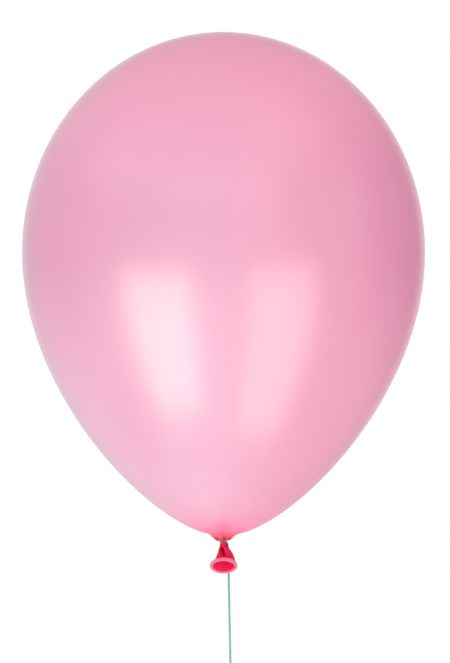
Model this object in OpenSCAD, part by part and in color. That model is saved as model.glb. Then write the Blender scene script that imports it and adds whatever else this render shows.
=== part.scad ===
// Tied round latex balloon with its string and finger loop.
// The origin is on the bulb's axis at the tie, where the string pinches the neck. +Z points up to
// the crown, and the tail leans forward, along -Y. The bulb is shown inflated, and the string taut.

/* [Bulb] */
// Diameter of the inflated bulb at its widest
bulb_d = 280; // [250:1:305]
// Height of the crown above the tie
crown_z = 353; // [330:1:370]
// Height of the widest section above the tie
widest_z = 200; // [180:1:210]
// Wall of the bulb, thicker than the stretched film of a real one
film_t = 0.4; // [0.4:0.1:0.8]

/* [Neck] */
// Diameter of the gathered neck under the string
neck_d = 4; // [3.8:0.1:4.2]
// Depth of the gathered latex that stands up inside the bulb
plug_h = 1.5; // [1:0.1:3]
// Distance below the tie at which the tail bends
bend_drop = 4.2; // [4.1:0.1:4.4]

/* [Tail] */
// Lean of the tail from straight down
tail_lean = 36; // [30:1:42]
// Distance from the bend to the middle of the rolled lip
tail_len = 16.3; // [15:0.1:17]
// Wall of the tail
tail_t = 0.5; // [0.4:0.1:0.6]
// Inner diameter of the mouth, inside the rolled lip
mouth_d = 15.4; // [15.2:0.1:15.6]
// Thickness of the rolled lip
lip_t = 2; // [1.8:0.1:2.2]

/* [String] */
// Diameter of the string
string_d = 1.4; // [1:0.1:1.4]
// Diameter of the string where it is pulled tight round the neck
wrap_d = 0.9; // [0.8:0.1:1]
// Diameter of the knot beside the neck
tie_knot_d = 1.8; // [1.6:0.1:1.8]
// Length of the cut end that stands out of the knot
cut_end_len = 6; // [4:0.5:10]
// Diameter of the knot above the finger loop
loop_knot_d = 4; // [3.8:0.1:4]

/* [Hidden] */
$fn = 96;

bulb_r = bulb_d / 2;
neck_r = neck_d / 2;
string_r = string_d / 2;
wrap_r = wrap_d / 2;
lip_r = lip_t / 2;

// Gap left between parts that move against each other
running_gap = 0.2;
// Overlap that makes two solids of one node into one
weld = 0.05;

// Outline of the bulb: an ellipse above the widest section, a Bezier flank below it, and the
// short chin where the film gathers towards the tie
plug_r = 2.4;
chin = [[4.6, 0.2], [6.2, 1.4], [8.2, 3]];
flank_end = [10, 4.5];
flank_pull_down = 98;
flank_pull_out = [53, 13];
arc_step = 5;
flank_steps = 20;

// Ball at the top of the tail, which turns in the hollow end of the neck
bend_at = [0, 0, -bend_drop];
ball_r = 2.4;
socket_r = ball_r + running_gap;

// Outline of the tail, as radius and distance from the bend
skirt_start = [2.2, 0.95];
skirt_pull_in = [3.9, 4];
skirt_pull_out = [6.8, 11];
skirt_end = [mouth_d / 2 + 0.8, tail_len];
skirt_steps = 12;
hollow_from = 0.28;

// Middle of the string round the neck, and heights of its two turns
wrap_path_r = neck_r + wrap_r;
wrap_z = [-0.6, -1.4];
// Last half turn, round the right side and down to the knot
strand_r = 3.4;
strand_start_angle = -76;
strand_sweep = 98;

// Places of the two knots, and the side the cut end points to
tie_knot_at = [2.6, 2.4, -5];
loop_knot_at = [5, 3.2, -98];
cut_end_way = [-0.35, 0.7, 0.62];
cut_end_r = 0.6;

// Route of the string, from the knot beside the neck to the knot above the loop
string_route = [
    [2.65, 2.45, -6.1], [2.9, 2.6, -10], [3.3, 2.8, -17], [3.6, 3, -24], [3.7, 3, -32],
    [3.9, 3.1, -41], [4.1, 3.1, -51], [4.3, 3.2, -61], [4.5, 3.2, -71], [4.7, 3.2, -81],
    [4.9, 3.2, -90], [5, 3.2, -97]
];
// Route of the finger loop, down its left side and up its right side
loop_route = [
    [4, 3.2, -100.3], [2.7, 3.2, -103.5], [0.4, 3.2, -108], [-2.4, 3.2, -114],
    [-4.9, 3.2, -121], [-6.4, 3.2, -128], [-6.6, 3.2, -135], [-5.1, 3.2, -142],
    [-1, 3.2, -148.4], [5, 3.2, -150.6], [11, 3.2, -148.4], [15.1, 3.2, -142],
    [16.6, 3.2, -135], [16.4, 3.2, -128], [14.9, 3.2, -121], [12.4, 3.2, -114],
    [9.6, 3.2, -108], [7.3, 3.2, -103.5], [6, 3.2, -100.3]
];
cord_sides = 8;

// ---- curves ----
function bezier(a, b, c, d, t) =
    pow(1 - t, 3) * a + 3 * pow(1 - t, 2) * t * b + 3 * (1 - t) * t * t * c + pow(t, 3) * d;

function unit(v) = v / norm(v);

// Outline from the hole for the neck up to the crown
function bulb_outline() = concat(
    [[plug_r, 0]],
    chin,
    [for (i = [flank_steps : -1 : 0])
        bezier([bulb_r, widest_z], [bulb_r, widest_z - flank_pull_down],
               flank_pull_out, flank_end, i / flank_steps)],
    [for (a = [arc_step : arc_step : 89])
        [bulb_r * cos(a), widest_z + (crown_z - widest_z) * sin(a)]],
    [[0, crown_z]]
);

// Unit normal of an outline at its point i, pointing in towards the axis
function inward(path, i) =
    let (along = unit(path[i + 1] - path[i - 1])) [-along[1], along[0]];

// The same outline, moved in by the wall, from the crown down to the hole
function bulb_inside(path) = concat(
    [[0, crown_z - film_t]],
    [for (i = [len(path) - 2 : -1 : 1]) path[i] + film_t * inward(path, i)],
    [[plug_r, film_t]]
);

function skirt_point(t) = bezier(skirt_start, skirt_pull_in, skirt_pull_out, skirt_end, t);

// ---- cords ----
// Smooth line through a route: its points, and one more halfway between each two
function route_point(route, i) =
    i < 0 ? 2 * route[0] - route[1]
    : i > len(route) - 1 ? 2 * route[len(route) - 1] - route[len(route) - 2]
    : route[i];

function halfway(route, i) =
    (9 * (route[i] + route[i + 1]) - route_point(route, i - 1) - route_point(route, i + 2)) / 16;

function smooth_route(route) = concat(
    [for (i = [0 : len(route) - 2]) each [route[i], halfway(route, i)]],
    [route[len(route) - 1]]
);

function heading(line, i) =
    unit(line[min(i + 1, len(line) - 1)] - line[max(i - 1, 0)]);

// Corners of the tube's ring at point i of the line, round its heading
function ring(line, i, r, side) =
    let (
        way = heading(line, i),
        across = unit(cross(side, way)),
        up = cross(way, across)
    )
    [for (k = [0 : cord_sides - 1])
        let (a = 360 * k / cord_sides) line[i] + r * (cos(a) * across + sin(a) * up)];

// Tube of radius r along a route; side is any direction that the route never runs in
module cord_tube(route, r, side) {
    line = smooth_route(route);
    last = len(line) - 1;
    corners = [for (i = [0 : last]) each ring(line, i, r, side)];
    walls = [for (i = [0 : last - 1], k = [0 : cord_sides - 1])
        let (a = i * cord_sides, b = a + cord_sides, n = (k + 1) % cord_sides)
        [a + k, b + k, b + n, a + n]];
    first_cap = [for (k = [0 : cord_sides - 1]) k];
    last_cap = [for (k = [cord_sides - 1 : -1 : 0]) last * cord_sides + k];
    polyhedron(corners, concat(walls, [first_cap, last_cap]), convexity = 6);
}

// ---- balloon ----
module bulb() {
    outside = bulb_outline();
    color("#f2a9c6")
        rotate_extrude()
            polygon(concat(outside, bulb_inside(outside)));
}

module gathered_neck() {
    socket_rim_z = -bend_drop + sqrt(pow(socket_r, 2) - pow(neck_r, 2));
    color("#e8486f")
        difference() {
            union() {
                cylinder(r = plug_r, h = plug_h);
                translate([0, 0, socket_rim_z - weld])
                    cylinder(r = neck_r, h = plug_h - socket_rim_z);
            }
            translate(bend_at)
                sphere(r = socket_r);
        }
}

// Puts its children in the tail's own frame: origin at the bend, +Z out of the mouth
module on_tail() {
    translate(bend_at)
        rotate([180 - tail_lean, 0, 0])
            children();
}

module lip_ring() {
    rotate_extrude()
        translate([mouth_d / 2 - 0.2 + lip_r, tail_len])
            circle(r = lip_r);
}

module tail_skirt() {
    outer = [for (i = [0 : skirt_steps]) skirt_point(i / skirt_steps)];
    inner = [for (i = [0 : skirt_steps])
        skirt_point(hollow_from + (1 - hollow_from) * i / skirt_steps) - [tail_t, 0]];
    color("#dc1f50")
        on_tail()
            difference() {
                union() {
                    sphere(r = ball_r);
                    rotate_extrude()
                        polygon(concat([[0, skirt_start[1]]], outer, [[0, tail_len]]));
                }
                rotate_extrude()
                    polygon(concat([[0, inner[0][1]]], inner, [[inner[skirt_steps][0], tail_len + 1],
                                   [0, tail_len + 1]]));
                lip_ring();
            }
}

// Rolled bead with a short flat land inside it, which seals on a nozzle
module rolled_lip() {
    color("#ff86a6")
        on_tail()
            difference() {
                lip_ring();
                translate([0, 0, tail_len - lip_t])
                    cylinder(r = mouth_d / 2, h = 2 * lip_t);
            }
}

// ---- string ----
module last_half_turn() {
    start_up = wrap_z[1] + bend_drop;
    start = unit([wrap_path_r * cos(strand_start_angle),
                  wrap_path_r * sin(strand_start_angle), start_up]);
    axis = unit(cross(start, tie_knot_at - bend_at));
    side = cross(axis, start);
    translate(bend_at)
        multmatrix([[start[0], side[0], axis[0], 0],
                    [start[1], side[1], axis[1], 0],
                    [start[2], side[2], axis[2], 0],
                    [0, 0, 0, 1]])
            rotate_extrude(angle = strand_sweep)
                translate([strand_r, 0])
                    circle(r = wrap_r);
}

module string_wraps() {
    color("#9fb8b6") {
        for (z = wrap_z)
            translate([0, 0, z])
                rotate_extrude()
                    translate([wrap_path_r, 0])
                        circle(r = wrap_r);
        last_half_turn();
    }
}

module string_knot() {
    color("#86bdb5")
        translate(tie_knot_at)
            sphere(d = tie_knot_d);
}

module string_cut_end() {
    way = unit(cut_end_way);
    turn = acos(way[2]);
    color("#86bdb5")
        translate(tie_knot_at)
            rotate(a = turn, v = cross([0, 0, 1], way))
                cylinder(r = cut_end_r, h = tie_knot_d / 2 + cut_end_len);
}

module string() {
    color("#86bdb5")
        cord_tube(string_route, string_r, [1, 0, 0]);
}

module loop_knot() {
    color("#86bdb5")
        translate(loop_knot_at)
            sphere(d = loop_knot_d);
}

module hand_loop() {
    color("#86bdb5")
        cord_tube(loop_route, string_r, [0, 1, 0]);
}

bulb();
gathered_neck();
string_wraps();
tail_skirt();
rolled_lip();
string_knot();
string_cut_end();
string();
loop_knot();
hand_loop();
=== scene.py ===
"""Looks of a tied latex balloon on a string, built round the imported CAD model.

Metres, +Z up from the tie to the crown, the tail leaning along -Y. Lengths in the tables are in
millimetres, as in the CAD source, and are turned into metres where a mesh is made.
"""
import math

import bpy
import numpy as np
from mathutils import Matrix, Vector


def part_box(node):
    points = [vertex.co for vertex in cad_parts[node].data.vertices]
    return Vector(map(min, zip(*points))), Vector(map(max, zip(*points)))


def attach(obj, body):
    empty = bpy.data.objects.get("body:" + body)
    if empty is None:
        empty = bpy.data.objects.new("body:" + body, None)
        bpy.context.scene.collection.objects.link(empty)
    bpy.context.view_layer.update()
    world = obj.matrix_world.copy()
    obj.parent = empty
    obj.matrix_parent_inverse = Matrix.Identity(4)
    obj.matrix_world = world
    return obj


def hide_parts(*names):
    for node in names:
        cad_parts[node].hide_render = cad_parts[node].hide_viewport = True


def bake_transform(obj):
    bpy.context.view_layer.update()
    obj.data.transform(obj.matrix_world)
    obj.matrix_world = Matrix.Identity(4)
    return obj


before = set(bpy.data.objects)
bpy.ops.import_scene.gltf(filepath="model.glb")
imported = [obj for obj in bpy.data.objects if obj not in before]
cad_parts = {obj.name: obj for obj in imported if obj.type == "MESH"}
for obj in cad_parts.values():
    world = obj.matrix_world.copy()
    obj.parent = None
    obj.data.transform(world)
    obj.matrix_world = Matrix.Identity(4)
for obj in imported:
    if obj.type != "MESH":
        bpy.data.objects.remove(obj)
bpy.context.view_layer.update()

MM = 0.001
TURN = 2 * math.pi


# ---------------------------------------------------------------- camera
# Places are in metres, the lens and the sensor in millimetres
CAMERA_DISTANCE = 2.2
CAMERA_HEIGHT = 0.1451
CAMERA_SIDE = 0.001
CAMERA_REACH = 30
CAMERA_LENS = 171.65
CAMERA_SENSOR = 36

camera_data = bpy.data.cameras.new("camera")
camera_data.lens = CAMERA_LENS
camera_data.sensor_width = CAMERA_SENSOR
camera_data.clip_end = CAMERA_REACH
camera = bpy.data.objects.new("camera", camera_data)
camera.location = (CAMERA_SIDE, -CAMERA_DISTANCE, CAMERA_HEIGHT)
camera.rotation_euler = (math.radians(90), 0, 0)
bpy.context.scene.collection.objects.link(camera)
bpy.context.scene.camera = camera


# ---------------------------------------------------------------- mesh helpers
# A direction that no line here starts along
OFF_AXIS = [0.3, 0.9, 0.31]


def unit(v):
    """Vectors scaled to length 1."""
    return v / np.linalg.norm(v, axis=-1, keepdims=True)


def smooth_step(x, low, high):
    """0 below low, 1 above high, and a smooth rise from one to the other."""
    t = np.clip((np.asarray(x, float) - low) / (high - low), 0, 1)
    return t * t * (3 - 2 * t)


def bump_at(x, centre, width):
    """Bell curve of height 1 round centre."""
    return np.exp(-((np.asarray(x, float) - centre) / width) ** 2)


def angle_gap(a, b):
    """Signed difference of two angles in degrees, from -180 to 180."""
    return (np.asarray(a, float) - b + 180) % 360 - 180


def spline(points, steps):
    """Catmull-Rom line through the points, with that many steps between each two."""
    p = np.asarray(points, float)
    p = np.vstack([2 * p[0] - p[1], p, 2 * p[-1] - p[-2]])
    t = np.linspace(0, 1, steps, endpoint=False)[:, None]
    line = [0.5 * (2 * p[i] + (p[i + 1] - p[i - 1]) * t
                   + (2 * p[i - 1] - 5 * p[i] + 4 * p[i + 1] - p[i + 2]) * t ** 2
                   + (3 * p[i] - p[i - 1] - 3 * p[i + 1] + p[i + 2]) * t ** 3)
            for i in range(1, len(p) - 2)]
    return np.vstack(line + [p[-2][None]])


def lengths_along(line):
    """Length from a line's start to each of its points."""
    steps = np.linalg.norm(np.diff(line, axis=0), axis=1)
    return np.concatenate([[0], np.cumsum(steps)])


def even_line(line, step):
    """The same line with points about one step apart."""
    s = lengths_along(line)
    count = max(2, int(round(s[-1] / step)) + 1)
    at = np.linspace(0, s[-1], count)
    return np.stack([np.interp(at, s, line[:, k]) for k in range(line.shape[1])], axis=1)


def frames_along(line):
    """Heading and a side vector at each point, carried along with the least turning."""
    way = unit(np.gradient(line, axis=0))
    side = [unit(np.cross(way[0], OFF_AXIS))]
    for heading in way[1:]:
        side.append(unit(side[-1] - heading * np.dot(side[-1], heading)))
    return way, np.array(side)


def tube_rings(line, radius, around):
    """Rings of a tube along a line, from its radius at each ring and each angle round it."""
    way, side = frames_along(line)
    up = np.cross(way, side)
    spokes = (np.cos(around)[None, :, None] * side[:, None, :]
              + np.sin(around)[None, :, None] * up[:, None, :])
    return line[:, None, :] + radius[..., None] * spokes


def mesh_object(name, points, faces, material, values=None):
    """A smooth-shaded mesh piece in the part's frame, from points in millimetres."""
    mesh = bpy.data.meshes.new(name)
    mesh.from_pydata((np.asarray(points) * MM).tolist(), [], faces)
    mesh.update()
    mesh.polygons.foreach_set("use_smooth", [True] * len(mesh.polygons))
    for key, numbers in (values or {}).items():
        layer = mesh.attributes.new(key, "FLOAT", "POINT")
        layer.data.foreach_set("value", np.asarray(numbers, np.float32))
    mesh.materials.append(material)
    piece = bpy.data.objects.new(name, mesh)
    bpy.context.scene.collection.objects.link(piece)
    return piece


def ring_faces(rings, around, closed=False):
    """Quads between neighbouring rings; closed joins the last ring to the first."""
    faces = []
    for i in range(rings if closed else rings - 1):
        a, b = i * around, (i + 1) % rings * around
        faces += [(a + k, a + (k + 1) % around, b + (k + 1) % around, b + k)
                  for k in range(around)]
    return faces


def capped(rings, values):
    """Points, faces and values of a stack of rings, with a fan over each end."""
    count, around = rings.shape[:2]
    points = np.vstack([rings.reshape(-1, 3), rings[0].mean(0), rings[-1].mean(0)])
    low, high = count * around, count * around + 1
    last = (count - 1) * around
    faces = ring_faces(count, around)
    faces += [(low, (k + 1) % around, k) for k in range(around)]
    faces += [(high, last + k, last + (k + 1) % around) for k in range(around)]
    values = {key: np.concatenate([v.ravel(), [v[0].mean()], [v[-1].mean()]])
              for key, v in values.items()}
    return points, faces, values


def joined(parts):
    """Points, faces and values of several parts, each given as its own three, as one mesh."""
    points, faces, values = [], [], {}
    for part_points, part_faces, part_values in parts:
        faces += [tuple(k + len(points) for k in face) for face in part_faces]
        points += part_points.tolist()
        for key, numbers in part_values.items():
            values.setdefault(key, []).extend(numbers)
    return points, faces, values


# ---------------------------------------------------------------- material helpers
def new_material(name):
    """A material, its node tree and its shader."""
    material = bpy.data.materials.new(name)
    material.use_nodes = True
    tree = material.node_tree
    return material, tree, tree.nodes["Principled BSDF"]


def add_node(tree, kind, **settings):
    node = tree.nodes.new(kind)
    for key, value in settings.items():
        setattr(node, key, value)
    return node


def noise_field(tree, vector, scale, detail=3.0, roughness=0.5):
    """Noise with about scale cells to a metre."""
    node = add_node(tree, "ShaderNodeTexNoise")
    node.inputs["Scale"].default_value = scale
    node.inputs["Detail"].default_value = detail
    node.inputs["Roughness"].default_value = roughness
    tree.links.new(vector, node.inputs["Vector"])
    return node.outputs["Fac"]


def mapped(tree, value, before, after):
    """The value moved from one range to another, and kept inside it."""
    node = add_node(tree, "ShaderNodeMapRange")
    for socket, number in zip(("From Min", "From Max", "To Min", "To Max"), (*before, *after)):
        node.inputs[socket].default_value = number
    tree.links.new(value, node.inputs["Value"])
    return node.outputs["Result"]


def mixed(tree, factor, a, b, blend="MIX"):
    """Colour mix; each of factor, a and b is a socket or a constant."""
    node = add_node(tree, "ShaderNodeMix", data_type="RGBA", blend_type=blend)
    for socket, value in ((node.inputs[0], factor), (node.inputs[6], a), (node.inputs[7], b)):
        if isinstance(value, bpy.types.NodeSocket):
            tree.links.new(value, socket)
        elif isinstance(value, float):
            socket.default_value = value
        else:
            socket.default_value = (*value, 1)
    return node.outputs[2]


def ramp(tree, value, stops):
    """Colour from stops of (place, colour)."""
    node = add_node(tree, "ShaderNodeValToRGB")
    elements = node.color_ramp.elements
    while len(elements) < len(stops):
        elements.new(0.5)
    for element, (place, colour) in zip(elements, stops):
        element.position = place
        element.color = (*colour, 1)
    tree.links.new(value, node.inputs["Fac"])
    return node.outputs["Color"]


def attribute(tree, name):
    return add_node(tree, "ShaderNodeAttribute", attribute_name=name).outputs["Fac"]


def object_coordinates(tree):
    return add_node(tree, "ShaderNodeTexCoord").outputs["Object"]


def bumped(tree, shader, height, distance, strength):
    """Bump on a shader, from a height that is distance metres tall where it is 1."""
    node = add_node(tree, "ShaderNodeBump")
    node.inputs["Strength"].default_value = strength
    node.inputs["Distance"].default_value = distance
    tree.links.new(height, node.inputs["Height"])
    tree.links.new(node.outputs["Normal"], shader.inputs["Normal"])


def summed(tree, *terms):
    """Weighted sum of (socket, weight) terms."""
    total = None
    for value, weight in terms:
        node = add_node(tree, "ShaderNodeMath", operation="MULTIPLY_ADD")
        tree.links.new(value, node.inputs[0])
        node.inputs[1].default_value = weight
        if total is None:
            node.inputs[2].default_value = 0.0
        else:
            tree.links.new(total, node.inputs[2])
        total = node.outputs[0]
    return total


# ---------------------------------------------------------------- materials
# Film colours from unstretched to thin, then those of its clouds, its grain and its specks
FILM_STRETCHED = [
    (0.0, (0.78, 0.015, 0.07)), (0.12, (0.97, 0.12, 0.20)), (0.3, (0.99, 0.19, 0.31)),
    (0.55, (0.96, 0.25, 0.42)), (0.8, (0.89, 0.27, 0.44)), (1.0, (0.78, 0.27, 0.44)),
]
FILM_CLOUD = (0.82, 0.38, 0.52)
FILM_GRAIN = (0.62, 0.17, 0.30)
FILM_SPECK = (0.45, 0.12, 0.20)
# Crimson from painted shade deep in a fold to a painted highlight on a ridge
CRIMSON = [
    (0.0, (0.30, 0.001, 0.007)), (0.35, (0.58, 0.001, 0.040)), (0.65, (0.72, 0.004, 0.075)),
    (0.85, (0.90, 0.013, 0.136)), (1.0, (0.92, 0.10, 0.20)),
]
CRIMSON_CLOUD = (0.72, 0.009, 0.088)
LIP_DARK, LIP_PALE = (0.85, 0.12, 0.21), (0.89, 0.175, 0.28)
# Painted shade in the groove where the roll meets the skirt
LIP_GROOVE_SHADE = (0.54, 0.007, 0.045)
# Thread from a ply's crest to painted shade at the bottom of the cleft: plain, then pale round the
# neck, partly squeezed and partly painted highlight and pink light from the film, and the painted
# shadow beside the neck
MINT = [(0.0, (0.31, 0.68, 0.66)), (0.4, (0.17, 0.46, 0.45)), (0.85, (0.03, 0.13, 0.135))]
MINT_PATCH = (0.11, 0.33, 0.33)
MINT_FIBRE = (0.50, 0.82, 0.80)
SQUEEZE_AND_PAINTED_LIGHT = [(0.0, (0.64, 0.46, 0.46)), (0.4, (0.46, 0.28, 0.30)), (0.8, (0.22, 0.10, 0.12))]
THREAD_SHADE = (0.17, 0.06, 0.08)


def film_material():
    """Pearl pink latex. The stretch attribute is 0 where it is unstretched, and 1 where thin."""
    material, tree, shader = new_material("pearl_latex_film")
    place = object_coordinates(tree)
    stretch = attribute(tree, "stretch")
    colour = ramp(tree, stretch, FILM_STRETCHED)
    cloud = noise_field(tree, place, scale=9.0)
    colour = mixed(tree, mapped(tree, cloud, (0.35, 0.65), (0.0, 0.10)), colour, FILM_CLOUD)
    grain = noise_field(tree, place, scale=900.0, detail=2.0)
    colour = mixed(tree, mapped(tree, grain, (0.3, 0.7), (0.0, 0.05)), colour, FILM_GRAIN)
    specks = add_node(tree, "ShaderNodeTexVoronoi")
    specks.inputs["Scale"].default_value = 38.0
    tree.links.new(place, specks.inputs["Vector"])
    speck = mapped(tree, specks.outputs["Distance"], (0.016, 0.03), (0.30, 0.0))
    colour = mixed(tree, speck, colour, FILM_SPECK)
    tree.links.new(colour, shader.inputs["Base Color"])
    rough = mapped(tree, cloud, (0.3, 0.7), (0.42, 0.50))
    tree.links.new(rough, shader.inputs["Roughness"])
    shader.inputs["Specular IOR Level"].default_value = 0.25
    tree.links.new(mapped(tree, stretch, (0.35, 0.9), (0.06, 1.0)), shader.inputs["Coat Weight"])
    shader.inputs["Coat Roughness"].default_value = 0.27
    shader.inputs["Coat IOR"].default_value = 2.5
    waves = noise_field(tree, place, scale=55.0, detail=2.0)
    height = summed(tree, (waves, 0.6), (grain, 0.08))
    bumped(tree, shader, height, distance=0.0003, strength=0.25)
    return material


def thick_latex_material():
    """Unstretched crimson latex. Its attribute is 0 for painted shade deep in a fold and 1 for a
    painted highlight on a ridge.
    """
    material, tree, shader = new_material("crimson_latex")
    place = object_coordinates(tree)
    colour = ramp(tree, attribute(tree, "painted_light"), CRIMSON)
    cloud = noise_field(tree, place, scale=320.0)
    colour = mixed(tree, mapped(tree, cloud, (0.35, 0.7), (0.0, 0.22)), colour, CRIMSON_CLOUD)
    tree.links.new(colour, shader.inputs["Base Color"])
    tree.links.new(mapped(tree, cloud, (0.3, 0.7), (0.44, 0.56)), shader.inputs["Roughness"])
    shader.inputs["Specular IOR Level"].default_value = 0.16
    shader.inputs["Coat Weight"].default_value = 0.06
    shader.inputs["Coat Roughness"].default_value = 0.25
    wrinkle = noise_field(tree, place, scale=900.0, roughness=0.6)
    height = summed(tree, (wrinkle, 0.5), (cloud, 0.6))
    bumped(tree, shader, height, distance=0.0003, strength=0.45)
    return material


def lip_material():
    """Rolled latex, paler because it was stretched when it was rolled."""
    material, tree, shader = new_material("rolled_latex")
    place = object_coordinates(tree)
    cloud = noise_field(tree, place, scale=260.0)
    colour = mixed(tree, mapped(tree, cloud, (0.3, 0.7), (0.0, 1.0)), LIP_DARK, LIP_PALE)
    # Painted shade in the groove
    colour = mixed(tree, attribute(tree, "groove"), colour, LIP_GROOVE_SHADE)
    tree.links.new(colour, shader.inputs["Base Color"])
    tree.links.new(mapped(tree, cloud, (0.3, 0.7), (0.38, 0.50)), shader.inputs["Roughness"])
    shader.inputs["Specular IOR Level"].default_value = 0.3
    shader.inputs["Coat Weight"].default_value = 0.2
    shader.inputs["Coat Roughness"].default_value = 0.22
    fine = noise_field(tree, place, scale=1400.0, roughness=0.6)
    bumped(tree, shader, fine, distance=0.0002, strength=0.35)
    return material


def thread_material():
    """Twisted mint thread. The cleft attribute is 1 between two plies, where painted shade darkens
    it.
    The next one is 1 where the thread is pale round the neck, partly squeezed and partly painted
    highlight and pink light from the film, and shade is 1 for painted shadow beside the neck."""
    material, tree, shader = new_material("mint_thread")
    place = object_coordinates(tree)
    cleft = attribute(tree, "cleft")
    # The ramp darkens the clefts between plies as painted shade
    colour = ramp(tree, cleft, MINT)
    patch = noise_field(tree, place, scale=420.0)
    colour = mixed(tree, mapped(tree, patch, (0.42, 0.62), (0.0, 0.6)), colour, MINT_PATCH)
    fibre = noise_field(tree, place, scale=5200.0, roughness=0.65)
    colour = mixed(tree, mapped(tree, fibre, (0.4, 0.75), (0.0, 0.4)), colour, MINT_FIBRE)
    # Pale round the neck, partly squeezed thread and partly painted highlight and pink light, then
    # painted shadow beside it
    colour = mixed(tree, attribute(tree, "squeeze_and_painted_light"), colour, ramp(tree, cleft, SQUEEZE_AND_PAINTED_LIGHT))
    colour = mixed(tree, attribute(tree, "shade"), colour, THREAD_SHADE)
    tree.links.new(colour, shader.inputs["Base Color"])
    tree.links.new(mapped(tree, fibre, (0.3, 0.7), (0.72, 0.92)), shader.inputs["Roughness"])
    shader.inputs["Specular IOR Level"].default_value = 0.2
    shader.inputs["Sheen Weight"].default_value = 0.12
    shader.inputs["Sheen Roughness"].default_value = 0.4
    bumped(tree, shader, fibre, distance=0.0002, strength=0.8)
    return material


FILM = film_material()
THICK = thick_latex_material()
LIP = lip_material()
THREAD = thread_material()


# ---------------------------------------------------------------- thread
STRING_D = 1.4
WRAP_D = 0.9
PLIES = 3
PITCH_PER_D = 4.3
RINGS_PER_PITCH = 18
THREAD_AROUND = 30
# Radius at the bottom of the cleft between two plies, in a thread of radius 1
CLEFT_FLOOR = 0.5
# The plies' crests stand proud, so that the thread is as thick on average as the plain cord
FULLNESS = 1.18
# Twist from one line of a knot to the next, in radians
LINE_PHASE = 1.1
# Points of an overhand knot's line, its last one on its first
KNOT_POINTS = 121
# Loose fibres: sides, points between two of a route, tip width to root width, and cleft value
FIBRE_AROUND = 5
FIBRE_STEPS = 3
FIBRE_TIP = 0.35
FIBRE_CLEFT = 0.25
FUZZ_STEP = 0.24
FUZZ_WIDTH = 0.085
# Turn round the thread from one fibre to the next, in radians, at which none line up
GOLDEN_TURN = math.pi * (3 - math.sqrt(5))


def ply_outline(phase):
    """Radius of three touching plies inside a circle of radius 1, and how deep the cleft is."""
    ply_r = 1 / (1 + 1 / math.sin(math.pi / PLIES))
    centre_r = 1 - ply_r
    gap = np.mod(phase, TURN / PLIES) - math.pi / PLIES
    inside = np.maximum(ply_r ** 2 - (centre_r * np.sin(gap)) ** 2, 0)
    radius = np.maximum(centre_r * np.cos(gap) + np.sqrt(inside), CLEFT_FLOOR)
    return radius, (1 - radius) / (1 - CLEFT_FLOOR)


def thread_rings(line, diameter, phase):
    """Rings of a twisted thread along a line in millimetres, and its cleft values."""
    around = np.linspace(0, TURN, THREAD_AROUND, endpoint=False)
    twist = lengths_along(line) * TURN / (PITCH_PER_D * diameter) + phase
    radius, cleft = ply_outline(around[None, :] - twist[:, None])
    return tube_rings(line, radius * diameter / 2 * FULLNESS, around), cleft


def thread_piece(name, lines, diameter, fibres=(), tints=None):
    """One piece of twisted thread along one or more lines, with loose fibres on it. tints turns
    the share of the way along a line into its values of pale painted light and of painted shade."""
    parts = []
    for number, line in enumerate(lines):
        line = even_line(line, diameter * PITCH_PER_D / RINGS_PER_PITCH)
        rings, cleft = thread_rings(line, diameter, LINE_PHASE * number)
        share = np.linspace(0, 1, len(rings))
        squeeze_and_painted_light, shade = tints(share) if tints else (0 * share, 0 * share)
        parts.append(capped(rings, {"cleft": cleft, "squeeze_and_painted_light": squeeze_and_painted_light[:, None] + 0 * cleft,
                                    "shade": shade[:, None] + 0 * cleft}))
    for points, faces in fibres:
        plain = np.zeros(len(points))
        parts.append((points, faces,
                      {"cleft": plain + FIBRE_CLEFT, "squeeze_and_painted_light": plain, "shade": plain}))
    points, faces, values = joined(parts)
    return mesh_object(name, points, faces, THREAD, values)


def fibre(line, width):
    """Points and faces of a thin loose fibre that tapers to its tip."""
    line = spline(line, FIBRE_STEPS)
    around = np.linspace(0, TURN, FIBRE_AROUND, endpoint=False)
    radius = width / 2 * np.linspace(1, FIBRE_TIP, len(line))
    points, faces, _ = capped(tube_rings(line, radius[:, None], around), {})
    return points, faces


def fuzz(line, diameter):
    """Short loose fibres that lift off a thread all along it."""
    line = even_line(line, FUZZ_STEP)
    way, side = frames_along(line)
    up = np.cross(way, side)
    fibres = []
    for i in range(2, len(line) - 3):
        angle = i * GOLDEN_TURN
        out = math.cos(angle) * side[i] + math.sin(angle) * up[i]
        across = np.cross(way[i], out)
        # Root, middle and tip: out from the thread's middle, along it, and across it
        lift = 0.5 + 0.5 * math.sin(1.7 * i)
        reach = diameter / 2 * np.array([0.7, 1.1 + 0.14 * lift, 1.12 + 0.26 * lift])
        run = (0.4 + math.sin(2.9 * i)) * np.array([0, 0.45, 1])
        sway = np.array([0, 0.16, 0.16 + 0.3 * math.sin(4.3 * i)])
        points = line[i] + reach[:, None] * out + run[:, None] * way[i] + sway[:, None] * across
        fibres.append(fibre(points, FUZZ_WIDTH))
    return fibres


def overhand(centre, reach, depth, turn, lift):
    """Closed line of a tight overhand knot round a centre, tipped by lift degrees about X and
    then turned by turn degrees about Z."""
    t = np.linspace(0, TURN, KNOT_POINTS)
    knot = np.stack([np.sin(t) + 2 * np.sin(2 * t), np.cos(t) - 2 * np.cos(2 * t),
                     -depth * np.sin(3 * t)], axis=1) / 3
    tip, spin = math.radians(lift), math.radians(turn)
    tipped = knot @ np.array([[1, 0, 0], [0, math.cos(tip), math.sin(tip)],
                              [0, -math.sin(tip), math.cos(tip)]])
    turned = tipped @ np.array([[math.cos(spin), math.sin(spin), 0],
                                [-math.sin(spin), math.cos(spin), 0], [0, 0, 1]])
    return np.asarray(centre, float) + reach * turned


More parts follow.
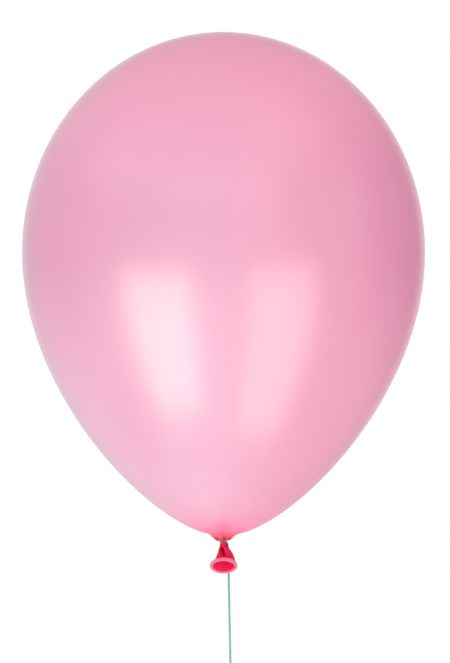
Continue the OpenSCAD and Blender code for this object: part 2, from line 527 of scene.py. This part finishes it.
# ---------------------------------------------------------------- cords
# Routes as in part.scad, in millimetres
STRING_ROUTE = [
    [2.65, 2.45, -6.1], [2.9, 2.6, -10], [3.3, 2.8, -17], [3.6, 3, -24], [3.7, 3, -32],
    [3.9, 3.1, -41], [4.1, 3.1, -51], [4.3, 3.2, -61], [4.5, 3.2, -71], [4.7, 3.2, -81],
    [4.9, 3.2, -90], [5, 3.2, -97],
]
LOOP_ROUTE = [
    [4, 3.2, -100.3], [2.7, 3.2, -103.5], [0.4, 3.2, -108], [-2.4, 3.2, -114],
    [-4.9, 3.2, -121], [-6.4, 3.2, -128], [-6.6, 3.2, -135], [-5.1, 3.2, -142],
    [-1, 3.2, -148.4], [5, 3.2, -150.6], [11, 3.2, -148.4], [15.1, 3.2, -142],
    [16.6, 3.2, -135], [16.4, 3.2, -128], [14.9, 3.2, -121], [12.4, 3.2, -114],
    [9.6, 3.2, -108], [7.3, 3.2, -103.5], [6, 3.2, -100.3],
]
TIE_KNOT = np.array([2.6, 2.4, -5])
LOOP_KNOT = np.array([5, 3.2, -98])

# The string starts inside the knot beside the neck, and both ends of the loop lie inside the knot
# above it
string_line = spline([TIE_KNOT + [0, 0.03, -0.7], *STRING_ROUTE], 12)
string = thread_piece("string_standing", [string_line], STRING_D, fuzz(string_line, STRING_D))
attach(string, "string")
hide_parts("string")

loop_line = spline([[4.4, 3.2, -99.2], *LOOP_ROUTE, [5.6, 3.2, -99.2]], 10)
loop = thread_piece("finger_loop_thread", [loop_line], STRING_D, fuzz(loop_line, STRING_D))
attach(loop, "loop")
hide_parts("hand_loop")

# The knot above the loop is tied in both strands at once
loop_knot = thread_piece("loop_knot_tied", [
    overhand(LOOP_KNOT + [0, -0.45, 0.5], reach=1.75, depth=1.5, turn=25, lift=62),
    overhand(LOOP_KNOT + [0.1, 0.5, -0.6], reach=1.75, depth=1.5, turn=25, lift=62),
], STRING_D)
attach(loop_knot, "string")
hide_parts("loop_knot")

tie_knot = thread_piece("tie_knot_tied", [
    overhand(TIE_KNOT, reach=0.95, depth=1.6, turn=50, lift=70),
    overhand(TIE_KNOT + [0.1, 0.15, -0.35], reach=0.7, depth=1.6, turn=-20, lift=40),
], WRAP_D)
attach(tie_knot, "tie_knot")
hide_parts("string_knot")

# The short end left over at the knot goes up behind the neck, and sways a little off its way
CUT_WAY = unit(np.array([-0.35, 0.7, 0.62]))
CUT_LENGTH = 6.3
CUT_SWAY = 0.25
CUT_D = 1.1
CUT_SHARES = (0.21, 0.38, 0.58, 0.79, 1)
# Loose fibres at its tip, each as its ways along the end and across it, and how far along those
# ways its three points past the tip are
FRAY = [(0.9, -0.5, 0.5), (0.8, 0.6, 0.35), (1.1, 0.1, -0.6), (1.2, -0.25, 0.1), (0.9, 0.45, -0.3),
        (0.7, -0.6, -0.35), (1.0, 0.05, 0.75)]
FRAY_REACH = [(0.35, 0.35, 0.35), (1.0, 1.2, 1.2), (1.5, 2.0, 2.1)]
FRAY_ROOT = 0.9
FRAY_WIDTH = 0.26

cut_line = spline([TIE_KNOT + CUT_WAY * CUT_LENGTH * share + [CUT_SWAY * math.sin(5 * share), 0, 0]
                   for share in CUT_SHARES], 8)
tip = cut_line[-1]
cut_side = unit(np.cross(CUT_WAY, [0, 0, 1]))
cut_basis = np.array([CUT_WAY, cut_side, np.cross(CUT_WAY, cut_side)])
frayed = [fibre([tip - CUT_WAY * FRAY_ROOT,
                 *(tip + (np.array(way) * reach) @ cut_basis for reach in FRAY_REACH)], FRAY_WIDTH)
          for way in FRAY]
cut_end = thread_piece("cut_end_frayed", [cut_line], CUT_D, frayed)
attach(cut_end, "tie_knot")
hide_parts("string_cut_end")

# Middle of the tail's bend
BEND = np.array([0, 0, -4.2])
# Tight turns round the neck that start and end at the knot beside it. Angles are in degrees from
# +X towards +Y, and the last strand goes round the bend
WRAP_R = 2.45
HELIX_ANGLES = (112, 644)
HELIX_HEIGHTS = (-0.32, -1.42)
HELIX_POINTS = 60
STRAND_R = 3.1
STRAND_POINTS = 24


def round_neck(angle, radius, z):
    """Points at an angle, a radius and a height round the neck."""
    a = np.radians(angle)
    return np.stack([radius * np.cos(a), radius * np.sin(a), z], axis=-1)


helix = round_neck(np.linspace(*HELIX_ANGLES, HELIX_POINTS), WRAP_R,
                   np.linspace(*HELIX_HEIGHTS, HELIX_POINTS))
lead = spline([TIE_KNOT, [2.35, 2.55, -3.4], round_neck(60, 3.35, -1.7),
               round_neck(84, 3.05, -0.7), helix[0]], 8)
strand_start = unit(helix[-1] - BEND)
strand_end = unit(TIE_KNOT - BEND)
opening = math.acos(float(strand_start @ strand_end))
share = np.linspace(0, 1, STRAND_POINTS)[1:, None]
arc = np.sin((1 - share) * opening) * strand_start + np.sin(share * opening) * strand_end
start_r = np.linalg.norm(helix[-1] - BEND)
arc_r = start_r + (STRAND_R - start_r) * smooth_step(share, 0, 0.3)
last_strand = BEND + arc / math.sin(opening) * arc_r
wrap_line = np.vstack([lead[:-1], helix, last_strand])
wrap_lengths = lengths_along(wrap_line)
turns_end = wrap_lengths[len(lead) + len(helix) - 2] / wrap_lengths[-1]


def wrap_tints(share):
    """Pale where it is tight round the neck, partly squeezed and partly painted highlight and pink
    light from the film, then painted shadow on its way down beside it.
    """
    return smooth_step(share, 0.08, 0.16), smooth_step(share, turns_end - 0.10, turns_end - 0.02)


wraps = thread_piece("string_wraps_tight", [wrap_line], WRAP_D, tints=wrap_tints)
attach(wraps, "balloon")
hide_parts("string_wraps")


# ---------------------------------------------------------------- bulb
bulb_low, bulb_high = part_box("bulb")
BULB_R = (bulb_high.x - bulb_low.x) / 2 / MM
CROWN_Z = bulb_high.z / MM
WIDEST_Z = 200
BULB_AROUND = 216
FLANK_RINGS = 84
DOME_RINGS = 64
# The dome's last ring, in degrees above the widest section; a fan closes the rest
DOME_END = 88.6
# Film under the string and out of it, as (radius, height), up to where the flank starts
CHIN = [(1.7, -2.6), (1.85, -1.8), (1.95, -1.0), (2.15, -0.3), (2.9, 0.1), (4.2, 0.3), (5.5, 1.0),
        (6.9, 2.1), (8.4, 3.3), (10.4, 4.55)]
# The flank is one curve from the widest section to there: how far down the first handle is, and
# where the second one is
FLANK_PULL_DOWN = 98
FLANK_PULL_OUT = (53, 13)
FLANK_END = CHIN[-1]
# The film goes no further in than this under the string
THROAT_R = 1.4
# Places round the neck, in degrees from the front towards +X, where the film is pulled in, and
# how strongly
CREASES = [(-46, 1.05), (5, 0.9), (46, 0.95), (90, 0.7), (134, 1.0), (178, 0.9), (221, 1.05),
           (268, 0.7)]
CREASE_WIDTH = 10.5


def bulb_outline():
    """Radius and height from under the string to just short of the crown."""
    chin = spline(np.array(CHIN), 4)
    t = np.linspace(1, 0, FLANK_RINGS)[1:, None]
    a, b = np.array([BULB_R, WIDEST_Z]), np.array([BULB_R, WIDEST_Z - FLANK_PULL_DOWN])
    c, d = np.array(FLANK_PULL_OUT), np.array(FLANK_END)
    flank = (1 - t) ** 3 * a + 3 * (1 - t) ** 2 * t * b + 3 * (1 - t) * t * t * c + t ** 3 * d
    rise = np.radians(np.linspace(0, DOME_END, DOME_RINGS))[1:, None]
    dome = np.hstack([BULB_R * np.cos(rise), WIDEST_Z + (CROWN_Z - WIDEST_Z) * np.sin(rise)])
    return np.vstack([chin, flank, dome])


def film_shape(r, below, face):
    """How far the film is pushed out, how deep it lies in a gather, and how high on a wrinkle.
    below is true under the widest section, and face is in degrees from the front. Each effect
    rises and fades between two radii."""
    full = below * smooth_step(r, 2.2, 3.4) * (1 - smooth_step(r, 5, 8.5))
    pull = sum(weight * bump_at(angle_gap(face, angle), 0, CREASE_WIDTH)
               for angle, weight in CREASES)
    gather = pull * below * (bump_at(r, 5.3, 1.7) + 0.4 * smooth_step(r, 2.2, 3) * (r < 5.3))
    waves = (np.sin(np.radians(face * 17 + 40))
             + 0.7 * np.sin(np.radians(face * 26 + 110 + 25 * np.sin(r / 6))))
    wrinkle = waves * below * smooth_step(r, 3, 7) * (1 - smooth_step(r, 10, 34))
    droop = bump_at(angle_gap(face, -75), 0, 38) * below
    droop = droop * smooth_step(r, 2.6, 4.2) * (1 - smooth_step(r, 6, 12))
    push = 0.35 * full - 1.5 * gather + 0.09 * wrinkle + 0.7 * droop
    return push, gather, wrinkle


def film_stretch(outline, gather, wrinkle):
    """How far the film is stretched, from 0 at the neck to 1, less in a spot at the crown."""
    r, z = outline[:, :1], outline[:, 1:]
    along = lengths_along(outline)
    from_neck = (along - along[np.argmax(outline[:, 1] > 0)])[:, None]
    stretch = 1 - np.exp(-(np.maximum(from_neck + 2, 0) / 35) ** 1.6)
    crown = 0.25 * np.exp(-(r / 11) ** 2) + 0.12 * np.exp(-(r / 26) ** 2)
    crown = crown + 0.12 * smooth_step(z, 215, 330)
    return np.clip(stretch - crown * (z >= WIDEST_Z) - 0.3 * gather - 0.02 * wrinkle, 0, 1)


def make_bulb():
    """Film from under the string to the crown."""
    outline = bulb_outline()
    r, z = outline[:, :1], outline[:, 1:]
    along = unit(np.gradient(outline, axis=0))
    face = np.linspace(0, 360, BULB_AROUND, endpoint=False)[None, :]
    push, gather, wrinkle = film_shape(r, z < WIDEST_Z, face)
    radius = np.maximum(r + along[:, 1:] * push, THROAT_R)
    height = z - along[:, :1] * push
    a = np.radians(face)
    rings = np.stack([radius * np.sin(a), -radius * np.cos(a), height], axis=2)
    points, faces, values = capped(rings, {"stretch": film_stretch(outline, gather, wrinkle)})
    points[-1, 2] = CROWN_Z
    return mesh_object("bulb_film", points, faces, FILM, values)


bulb = make_bulb()
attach(bulb, "balloon")
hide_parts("bulb")


# ---------------------------------------------------------------- tail
TAIL_LEAN = 36
TAIL_AXIS = np.array([0, -math.sin(math.radians(TAIL_LEAN)), -math.cos(math.radians(TAIL_LEAN))])
# Distances from the bend along the tail: where the axis starts and ends its lean, where the neck
# turns into the skirt, the lip, the floor inside, and where the skin is closed over it and open
LEAN_FROM, LEAN_TO = -2.2, 2.2
SKIRT_AT = 2
LIP_AT = 15.9
TAIL_FLOOR = 4.8
CLOSED_AT, OPEN_AT = 4.7, 8.5
TAIL_AROUND = 144
NECK_RINGS, SKIRT_RINGS, INNER_RINGS = 42, 56, 30
# Distances at which the bent axis is added up
AXIS_AT = np.linspace(-8, 18, 521)
# How far the inner skin lies inside the outer one, and how much of its width it gives up as it
# closes over the floor
INNER_INSET = 0.85
CLOSING = 0.97
# Distance from the bend along the tail: half width across X, shift along X, half depth
TAIL_SECTIONS = np.array([
    (-6.2, 1.5, 0, 1.5), (-5.0, 1.75, 0, 1.75), (-3.6, 1.9, 0, 1.9), (-2.8, 1.9, 0, 1.9),
    (-2.0, 2.15, -0.15, 2.1), (-1.2, 2.3, -0.3, 2.2), (0.0, 2.3, -0.05, 2.25),
    (1.3, 2.85, 0.15, 2.55), (2.6, 3.6, 0.4, 3.0), (4.0, 4.3, 0.65, 3.6), (6.0, 5.2, 1.0, 4.5),
    (8.0, 5.95, 1.1, 5.4), (10.0, 6.6, 1.1, 6.2), (12.0, 7.2, 0.9, 6.95), (14.0, 7.9, 0.45, 7.75),
    (15.2, 8.35, 0.1, 8.3), (LIP_AT, 8.6, 0, 8.6),
])


def tail_lean(h):
    """Angle of the tail's axis from straight down, in radians."""
    return np.radians(TAIL_LEAN) * smooth_step(h, LEAN_FROM, LEAN_TO)


def tail_place(h, x, y):
    """Point of the tail from its distance along the axis and its two offsets across it."""
    step = AXIS_AT[1] - AXIS_AT[0]
    y_line = -np.cumsum(np.sin(tail_lean(AXIS_AT))) * step
    z_line = -np.cumsum(np.cos(tail_lean(AXIS_AT))) * step
    # The axis meets the middle of the lip, and comes to the middle of the neck above the bend
    lip = BEND + TAIL_AXIS * LIP_AT
    axis_y = np.interp(h, AXIS_AT, y_line) - np.interp(LIP_AT, AXIS_AT, y_line) + lip[1]
    axis_z = np.interp(h, AXIS_AT, z_line) - np.interp(LIP_AT, AXIS_AT, z_line) + lip[2]
    axis_y = axis_y * smooth_step(h, -6, -1)
    lean = tail_lean(h)
    return np.stack([x, axis_y - y * np.cos(lean), axis_z + y * np.sin(lean)], axis=-1)


def fold_offset(h, face):
    """How far the folds move the skin out, how much painted shade lies in its hollows, and how far
    up the ridge, which also gets a painted highlight. face is in degrees from the front."""
    # The deep fold on the front with its shoulder, and the ridge beside it
    valley_at = -24 + 2.7 * (h - 4)
    deep = smooth_step(h, 0.6, 4) * (1 - smooth_step(h, 9.5, 14.6))
    valley = bump_at(angle_gap(face, valley_at), 0, 13) * deep
    shoulder = bump_at(angle_gap(face, valley_at - 26), 0, 12) * deep
    ridge_at = valley_at + 27 - 0.7 * (h - 2)
    ridge = bump_at(angle_gap(face, ridge_at), 0, 9)
    ridge = ridge * smooth_step(h, -1.5, 1.5) * (1 - smooth_step(h, 7, 13))
    # Pleats of the bunched neck, two folds behind, and slight ripples towards the lip
    neck = smooth_step(h, -6, -2) * (1 - smooth_step(h, 1, 7))
    pleats = np.cos(np.radians(9 * face + 30)) * 0.16 + np.cos(np.radians(14 * face)) * 0.07
    back = bump_at(angle_gap(face, 150), 0, 14) * 0.8 + bump_at(angle_gap(face, 215), 0, 16) * 0.9
    back = back * smooth_step(h, 0.5, 4) * (1 - smooth_step(h, 8, 13.5))
    ripple = 0.07 * np.cos(np.radians(7 * face + 20)) * smooth_step(h, 4, 12)
    offset = -1.75 * valley + 0.6 * ridge + 0.25 * shoulder + pleats * neck - back + ripple
    # Painted shade in the front fold's valley, in the two folds behind and in the pleats' dips
    painted_hollow_shade = 0.95 * valley + 0.7 * back + 0.5 * np.clip(-pleats * 4, 0, 1) * neck
    return offset, np.clip(painted_hollow_shade, 0, 1), ridge


def skin_ring(h, face, inner):
    """Ring of the tail's outer or inner skin at one distance along it, and its painted light and
    shade.
    """
    wide, shift, deep = (np.interp(h, TAIL_SECTIONS[:, 0], column)
                         for column in TAIL_SECTIONS[:, 1:].T)
    offset, painted_hollow_shade, ridge = fold_offset(h, face)
    a = np.radians(face)
    if inner:
        close = (1 - smooth_step(h, CLOSED_AT, OPEN_AT)) ** 1.5
        offset = (offset - INNER_INSET) * (1 - close)
        wide, deep = wide * (1 - close * CLOSING), deep * (1 - close * CLOSING)
        # Painted light inside: brighter than outside as if lit through the skin, lighter on one
        # side, painted shade where it closes over the floor, and painted light and shade in
        # stripes for puckers that the shape does not have
        painted_puckers = np.cos(np.radians(11 * face)) * close
        painted_light = 0.84 + 0.10 * np.sin(a + 0.6) - 0.10 * close + 0.12 * painted_puckers
    else:
        # Painted light and shade outside: painted shade in the hollows, a painted highlight on the
        # ridge and a painted shadow above the lip; lighter towards the neck
        near_neck = smooth_step(-h, -1.5, 1.2)
        painted_lip_shadow = smooth_step(h, 12.5, 15.5)
        painted_light = 0.50 + 0.40 * near_neck - 0.5 * painted_hollow_shade + 0.5 * ridge - 0.14 * painted_lip_shadow
    x = (wide + offset) * np.sin(a) + shift
    y = (deep + offset) * np.cos(a)
    return tail_place(np.full_like(x, h), x, y), np.clip(painted_light, 0, 1)


def make_tail():
    """One skin from under the string to the lip, and back inside to a floor with painted puckers
    of light and shade.
    """
    face = np.linspace(0, 360, TAIL_AROUND, endpoint=False)
    outer = np.concatenate([np.linspace(TAIL_SECTIONS[0, 0], SKIRT_AT, NECK_RINGS),
                            np.linspace(SKIRT_AT, LIP_AT, SKIRT_RINGS)[1:]])
    inner = np.linspace(LIP_AT, TAIL_FLOOR, INNER_RINGS)
    skin = [skin_ring(h, face, False) for h in outer] + [skin_ring(h, face, True) for h in inner]
    rings, painted_lights = (np.array(column) for column in zip(*skin))
    points, faces, values = capped(rings, {"painted_light": painted_lights})
    return mesh_object("neck_and_tail", points, faces, THICK, values)


tail = make_tail()
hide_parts("gathered_neck", "tail_skirt")
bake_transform(tail)


# ---------------------------------------------------------------- lip
LIP_AROUND = 160
BEAD_AROUND = 36
LIP_RING_R = 8.45
BEAD_R = 1.1
# Place of the groove round the bead's section, in degrees from outwards towards the mouth
GROOVE_AT = 248
GROOVE_WIDTH = 15


def make_lip():
    """Rolled bead, a little uneven, with the groove where the roll meets the skirt."""
    face = np.linspace(0, 360, LIP_AROUND, endpoint=False)
    a = np.linspace(0, TURN, BEAD_AROUND, endpoint=False)
    thick = BEAD_R + 0.17 * np.cos(np.radians(face)) + 0.03 * np.cos(np.radians(5 * face + 50))
    thick = thick + 0.015 * np.cos(np.radians(23 * face))
    ring_r = LIP_RING_R + 0.06 * np.cos(np.radians(3 * face + 70)) - (thick - BEAD_R) * 0.6
    groove = bump_at(angle_gap(np.degrees(a), GROOVE_AT), 0, GROOVE_WIDTH)
    bead = thick[:, None] * (1 - 0.2 * groove[None, :])
    radial = ring_r[:, None] + bead * np.cos(a)[None, :]
    h = LIP_AT + 0.1 + bead * np.sin(a)[None, :] * 0.98
    f = np.radians(face)[:, None]
    rings = tail_place(h, radial * np.sin(f), radial * np.cos(f))
    faces = ring_faces(LIP_AROUND, BEAD_AROUND, closed=True)
    # The groove value darkens the lip's colour there as painted shade
    values = {"groove": np.broadcast_to(groove[None, :], bead.shape).ravel()}
    return mesh_object("lip_rolled", rings.reshape(-1, 3), faces, LIP, values)


lip = make_lip()
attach(lip, "tail")
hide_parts("rolled_lip")


# ---------------------------------------------------------------- floor, light and backdrop
FLOOR_Z = -1.4
FLOOR_R = 1.7
FLOOR_SIDES = 96
FLOOR_GREYS = (0.90, 0.90, 0.90), (0.93, 0.93, 0.93)
PANEL_COLOUR = (1.0, 1.0, 0.72)
# Brightness of each part of the room as (place, level), from its left side to its right side
FRONT_WALLS = [(0.0, 0.56), (0.12, 0.62), (0.28, 0.78), (0.68, 0.78), (0.85, 0.4), (1.0, 0.34)]
BACK_WALLS = [(0.0, 0.4), (0.25, 0.56), (0.6, 0.28), (0.85, 0.06), (1.0, 0.02)]
CEILING = [(0.0, 0.81), (0.35, 0.9), (0.66, 0.87), (0.86, 0.3), (1.0, 0.25)]
OVERHEAD = 0.59
BACK_CEILING = [(0.0, 0.6), (0.3, 0.5), (0.5, 0.4), (0.75, 0.32), (0.9, 0.1), (1.0, 0.08)]
GROUND = [(0.0, 0.99), (0.15, 1.08), (0.28, 1.33), (0.45, 1.36), (0.54, 1.18), (0.64, 0.87),
          (0.78, 0.59), (1.0, 0.43)]
BACK_GROUND = [(0.0, 0.88), (0.2, 1.0), (0.3, 1.32), (0.42, 1.44), (0.55, 1.04), (0.7, 0.76),
               (0.85, 0.56), (1.0, 0.4)]
FAR_GROUND = [(0.0, 1.05), (0.25, 1.05), (0.4, 0.78), (0.55, 0.55), (0.75, 0.5), (1.0, 0.42)]
# Warmth of the room from left to right
ROOM_TINT = [(0.0, (0.85, 1, 1)), (0.5, (0.85, 1, 1)), (0.8, (1.3, 1, 1)), (1.0, (1.5, 1, 1))]
BACKDROP = 0.95
# The film lets light through, so its shaded side is as bright as the lit one
EVEN_LIGHT = 1.3
SEEN_WHITE = 1.0
# Between which heights or depths of a direction of length 1 one part of the room turns into the
# next
WALL_TO_CEILING = (0.36, 0.48)
CEILING_TO_OVERHEAD = (0.5, 0.95)
GROUND_TO_WALL = (-0.5, -0.05)
FRONT_TO_BACK = (-0.2, 0.2)
BACK_TO_FAR = (0.25, 0.6)
BACK_TO_BACKDROP = (0.84, 0.97)


def make_floor():
    """Pale disc, left out of reflections so that the room's ground shows in the film instead."""
    material, tree, shader = new_material("pale_floor")
    grain = noise_field(tree, object_coordinates(tree), scale=6.0, detail=2.0)
    colour = mixed(tree, mapped(tree, grain, (0.3, 0.7), (0.0, 1.0)), *FLOOR_GREYS)
    tree.links.new(colour, shader.inputs["Base Color"])
    shader.inputs["Roughness"].default_value = 0.9
    corners = [(FLOOR_R * math.cos(a) / MM, FLOOR_R * math.sin(a) / MM, FLOOR_Z / MM)
               for a in np.linspace(0, TURN, FLOOR_SIDES, endpoint=False)]
    floor = mesh_object("floor", corners, [tuple(range(FLOOR_SIDES))], material)
    floor.visible_glossy = False


def soft_light(name, top, bottom, width, radiance):
    """Tall soft panel that faces the balloon and shows only in reflections. top and bottom are
    the middles of its two short edges, as (azimuth, distance, height) from the balloon's axis. An
    azimuth is in degrees from the front towards +X."""
    high, low = (Vector((d * math.sin(math.radians(azimuth)),
                         -d * math.cos(math.radians(azimuth)), z))
                 for azimuth, d, z in (top, bottom))
    up = (high - low).normalized()
    centre = (high + low) / 2
    across = up.cross(centre).normalized()
    light = bpy.data.lights.new(name, "AREA")
    light.shape = "RECTANGLE"
    light.size = width
    light.size_y = (high - low).length
    light.color = PANEL_COLOUR
    light.energy = radiance * math.pi * width * light.size_y
    panel = bpy.data.objects.new(name, light)
    panel.matrix_world = Matrix.Translation(centre) @ Matrix(
        (across, up, across.cross(up))).transposed().to_4x4()
    panel.visible_camera = False
    panel.visible_diffuse = False
    bpy.context.scene.collection.objects.link(panel)


def grey(level):
    return (level,) * 3


def grey_ramp(tree, value, levels):
    return ramp(tree, value, [(place, grey(level)) for place, level in levels])


def make_world():
    """White backdrop, even light, and a pale room with darker walls for the reflections."""
    world = bpy.data.worlds.new("studio")
    world.use_nodes = True
    tree = world.node_tree
    way = add_node(tree, "ShaderNodeSeparateXYZ")
    tree.links.new(add_node(tree, "ShaderNodeTexCoord").outputs["Generated"], way.inputs[0])
    across, depth, height = (way.outputs[axis] for axis in "XYZ")
    side = mapped(tree, across, (-1, 1), (0, 1))
    behind = mapped(tree, depth, FRONT_TO_BACK, (0, 1))
    far = mapped(tree, depth, BACK_TO_FAR, (0, 1))
    backdrop = mapped(tree, depth, BACK_TO_BACKDROP, (0, 1))
    low = mapped(tree, height, GROUND_TO_WALL, (1, 0))
    high = mapped(tree, height, WALL_TO_CEILING, (0, 1))
    overhead = mapped(tree, height, CEILING_TO_OVERHEAD, (0, 1))
    walls = mixed(tree, behind, grey_ramp(tree, side, FRONT_WALLS),
                  grey_ramp(tree, side, BACK_WALLS))
    walls = mixed(tree, backdrop, walls, grey(BACKDROP))
    ceiling = mixed(tree, overhead, grey_ramp(tree, side, CEILING), grey(OVERHEAD))
    ceiling = mixed(tree, behind, ceiling, grey_ramp(tree, side, BACK_CEILING))
    ground = mixed(tree, behind, grey_ramp(tree, side, GROUND), grey_ramp(tree, side, BACK_GROUND))
    ground = mixed(tree, far, ground, grey_ramp(tree, side, FAR_GROUND))
    room = mixed(tree, high, mixed(tree, low, walls, ground), ceiling)
    room = mixed(tree, 1.0, room, ramp(tree, side, ROOM_TINT), "MULTIPLY")
    path = add_node(tree, "ShaderNodeLightPath")
    room = mixed(tree, path.outputs["Is Diffuse Ray"], room, grey(EVEN_LIGHT))
    room = mixed(tree, path.outputs["Is Camera Ray"], room, grey(SEEN_WHITE))
    tree.links.new(room, tree.nodes["Background"].inputs["Color"])
    bpy.context.scene.world = world


make_floor()
make_world()
soft_light("softbox_left", top=(-36.5, 0.98, 0.06), bottom=(-41.5, 0.82, -1.2),
           width=0.68, radiance=1.5)
soft_light("softbox_right", top=(32, 0.98, 0.08), bottom=(45, 0.62, -1.25),
           width=0.60, radiance=1.08)
bpy.context.scene.view_settings.view_transform = "Standard"
